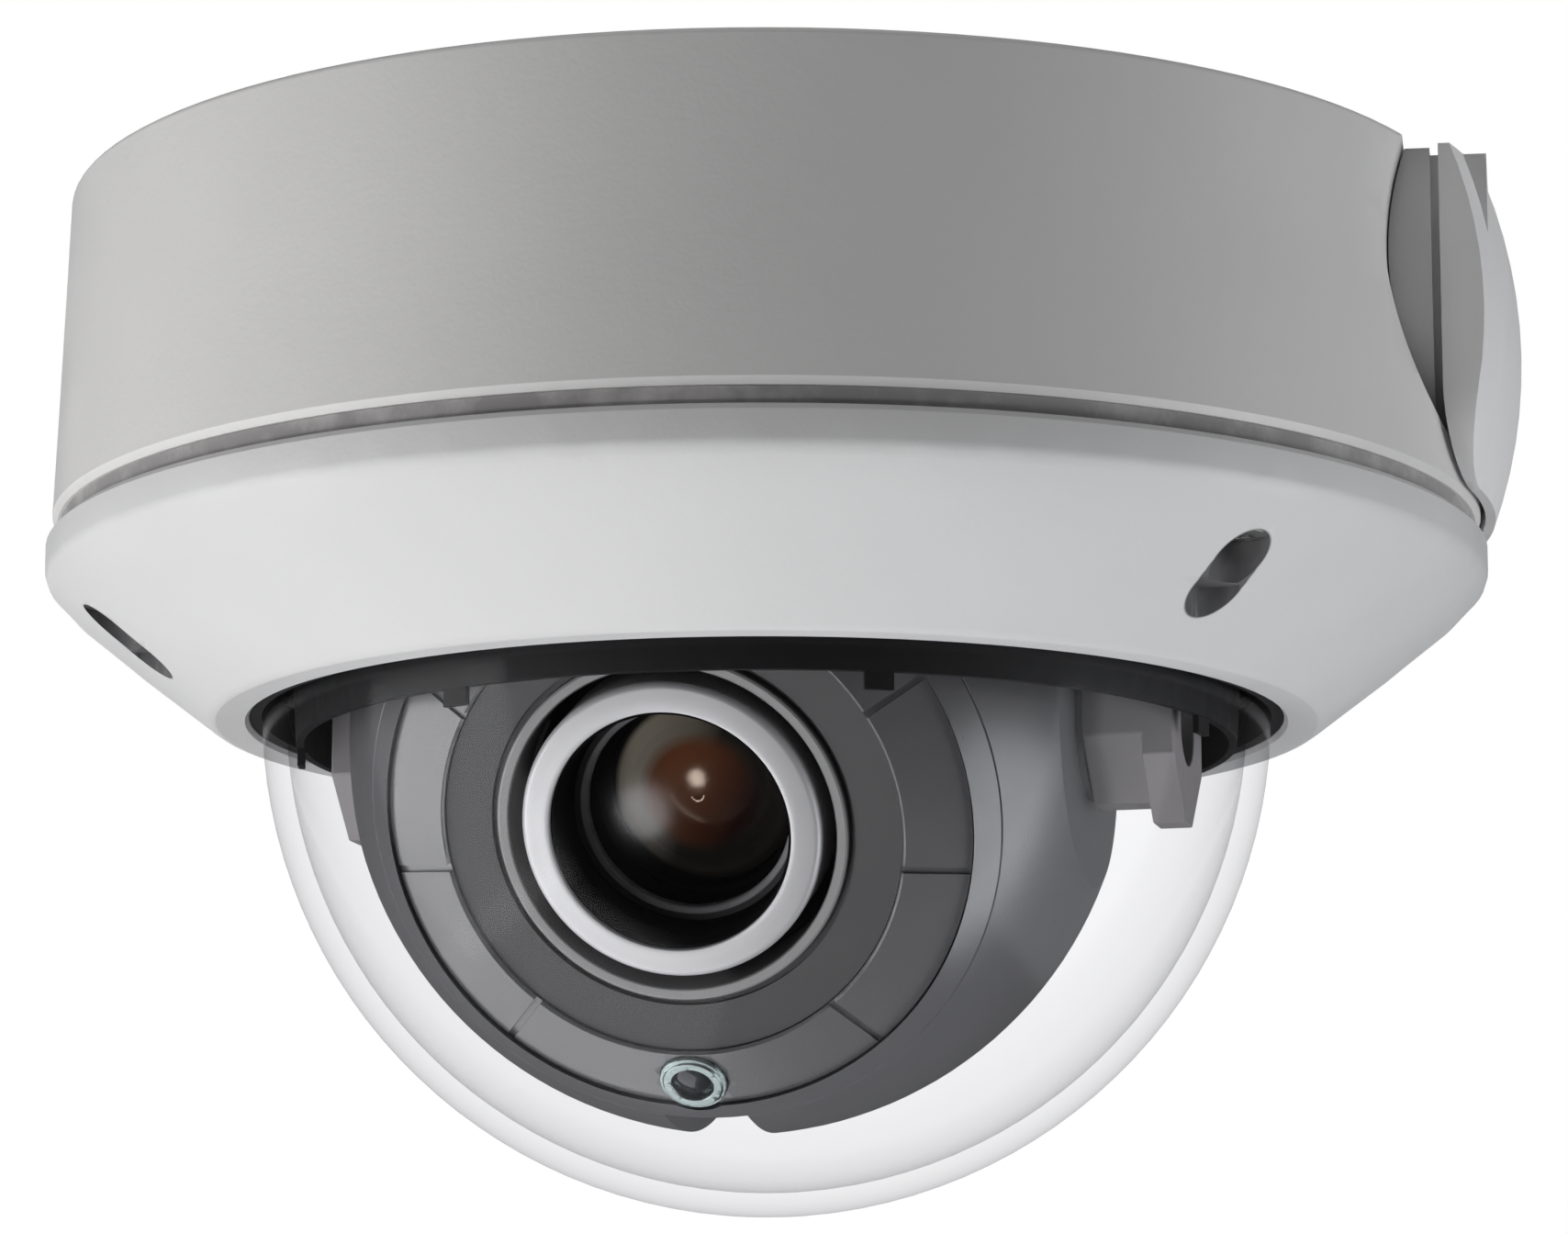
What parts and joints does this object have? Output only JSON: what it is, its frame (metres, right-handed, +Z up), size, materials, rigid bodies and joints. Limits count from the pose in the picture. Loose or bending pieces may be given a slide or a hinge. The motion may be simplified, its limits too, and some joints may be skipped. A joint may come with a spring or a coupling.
{
  "type": "dome camera",
  "caption": "Ceiling dome surveillance camera: round metal base and cover ring, clear bubble, and an inner eyeball with a zoom lens that pans, tilts and turns.",
  "frame": {"origin": "centre of the flat face of the base that lies on the ceiling", "axes": "+Z up, out of the ceiling face and along the pan axis; -Y is the front, +X is to the right of someone facing the front"},
  "size_m": [0.148, 0.1442, 0.1009],
  "materials": {
    "housing_paint": "satin light grey paint",
    "cover_paint": "satin off-white paint",
    "plug_plastic": "satin light grey",
    "black_rubber": "matt black",
    "gasket_rubber": "matt grey",
    "zinc_steel": "zinc plated",
    "screw_steel": "stainless",
    "circuit_board": "green solder mask",
    "capacitor_sleeve": "dark sleeve",
    "connector_plastic": "ivory",
    "black_component": "matt black",
    "clear_dome": "clear moulded polycarbonate",
    "black_plastic": "matt black",
    "yoke_plastic": "mid grey",
    "eyeball_plastic": "satin dark grey",
    "front_ring_plastic": "satin grey",
    "shroud_plastic": "matt dark grey",
    "sensor_bezel_metal": "polished",
    "sensor_window_plastic": "dark gloss",
    "lens_silver": "satin silver",
    "lens_black": "black anodised",
    "baffle_grey": "matt",
    "lens_glass": "coated glass with an amber reflection",
    "image_chip": "glass covered chip",
    "brass": "turned",
    "knob_metal": "knurled"
  },
  "bodies": {
    "base": {"base_housing": "housing_paint", "side_outlet_plug": "plug_plastic", "cable_grommet": "black_rubber", "chassis_plate": "zinc_steel", "chassis_screws": "screw_steel", "power_board": "circuit_board", "power_board_screws": "screw_steel", "power_capacitors": "capacitor_sleeve", "power_connectors": "connector_plastic", "power_coil": "black_component"},
    "cover": {"cover_ring": "cover_paint", "cover_gasket": "gasket_rubber", "dome_bubble": "clear_dome", "dome_seal": "black_rubber", "dome_retainer": "black_plastic", "retainer_screws": "screw_steel", "light_shield": "black_plastic", "cover_screws": "screw_steel", "screw_clips": "black_plastic"},
    "pan": {"pan_yoke": "yoke_plastic", "pan_washer": "zinc_steel", "pan_lock_ring": "black_plastic", "tilt_pivot_screws": "screw_steel"},
    "eyeball": {"eye_rear_shell": "eyeball_plastic", "eye_front_shell": "eyeball_plastic", "eye_front_ring": "front_ring_plastic", "lens_shroud": "shroud_plastic", "light_sensor_bezel": "sensor_bezel_metal", "light_sensor_window": "sensor_window_plastic", "lens_carrier": "black_plastic", "carrier_screws": "screw_steel"},
    "lens_module": {"lens_holder": "black_plastic", "lens_clamp_ring": "lens_silver", "lens_tube": "lens_black", "lens_bezel": "lens_silver", "lens_baffle": "baffle_grey", "front_glass": "lens_glass", "middle_glass": "lens_glass", "rear_glass": "lens_glass", "filter_switcher": "black_component", "image_board": "circuit_board", "image_sensor": "image_chip", "processor_board": "circuit_board", "processor_chips": "black_component", "board_spacers": "brass", "lens_board_screws": "screw_steel"},
    "zoom": {"zoom_ring": "lens_black", "zoom_knob": "knob_metal"},
    "focus": {"focus_ring": "lens_black", "focus_knob": "knob_metal"}
  },
  "joints": [
    {"name": "cover_removal", "type": "slide", "parent": "base", "child": "cover", "axis": [0, 0, -1], "range_m": [0, 0.075]},
    {"name": "pan_turn", "type": "hinge", "parent": "base", "child": "pan", "pos_m": [0, 0, -0.0098], "axis": [0, 0, 1], "range_deg": [-177, 177]},
    {"name": "tilt_turn", "type": "hinge", "parent": "pan", "child": "eyeball", "pos_m": [-0.00284, -0.00228, -0.0541], "axis": [0.9703, -0.2419, 0], "range_deg": [-11, 64]},
    {"name": "lens_turn", "type": "hinge", "parent": "eyeball", "child": "lens_module", "pos_m": [-0.00284, -0.00228, -0.0541], "axis": [-0.2182, -0.875, -0.4321], "range_deg": [-177, 177]},
    {"name": "zoom_turn", "type": "hinge", "parent": "lens_module", "child": "zoom", "pos_m": [-0.00284, -0.00228, -0.0541], "axis": [-0.2182, -0.875, -0.4321], "range_deg": [-42, 42]},
    {"name": "focus_turn", "type": "hinge", "parent": "lens_module", "child": "focus", "pos_m": [-0.00284, -0.00228, -0.0541], "axis": [-0.2182, -0.875, -0.4321], "range_deg": [-45, 45]}
  ]
}
